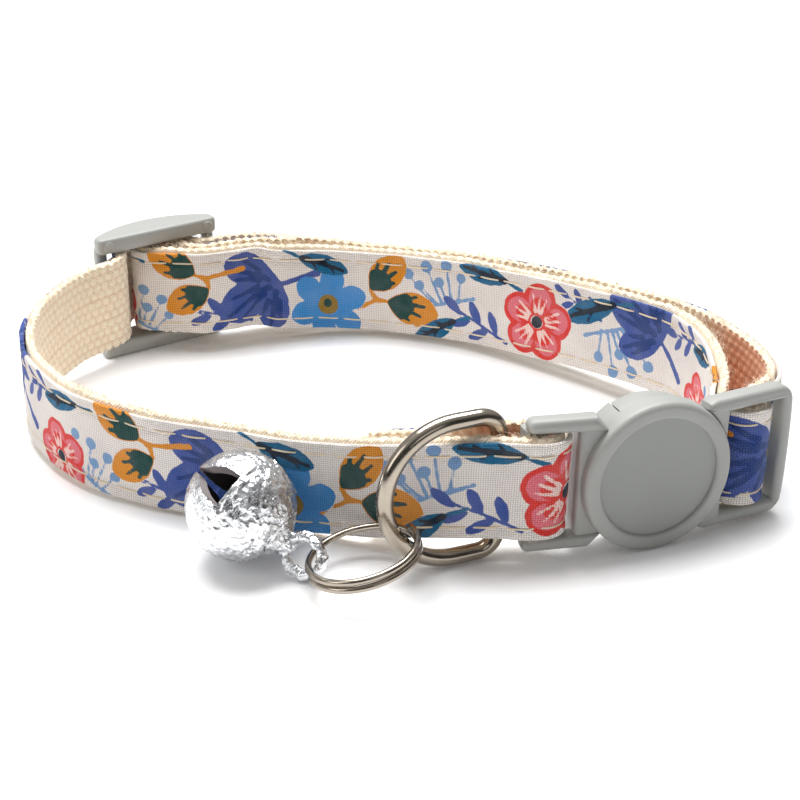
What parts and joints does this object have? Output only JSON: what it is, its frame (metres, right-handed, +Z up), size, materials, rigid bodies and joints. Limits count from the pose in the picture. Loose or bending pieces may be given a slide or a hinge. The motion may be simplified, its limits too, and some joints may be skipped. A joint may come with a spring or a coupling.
{
  "type": "cat collar with bell",
  "caption": "Narrow cat collar of cream webbing faced with floral cotton, closed by a snap buckle with a round badge disc, with a slide adjuster, D-ring, split ring and jingle bell.",
  "frame": {"origin": "bottom centre of the whole collar's box, on the surface it stands on", "axes": "+Z up along the strap's width, +X along the loop's longer way with the buckle on its right, -Y towards the badge disc and the bell"},
  "size_m": [0.0764, 0.0646, 0.0154],
  "materials": {
    "webbing": "coarse cream woven webbing",
    "printed_cotton": "plain weave cotton with a multicoloured floral print",
    "grey_plastic": "satin warm grey",
    "nickel": "satin nickel plate",
    "bell_metal": "crinkled bright silver"
  },
  "bodies": {
    "root": {"strap_webbing": "webbing", "strap_cover": "printed_cotton", "buckle_socket": "grey_plastic", "buckle_plug": "grey_plastic", "slide_adjuster": "grey_plastic", "d_ring": "nickel", "split_ring": "nickel", "bell": "bell_metal", "bell_pea": "bell_metal"}
  },
  "joints": []
}
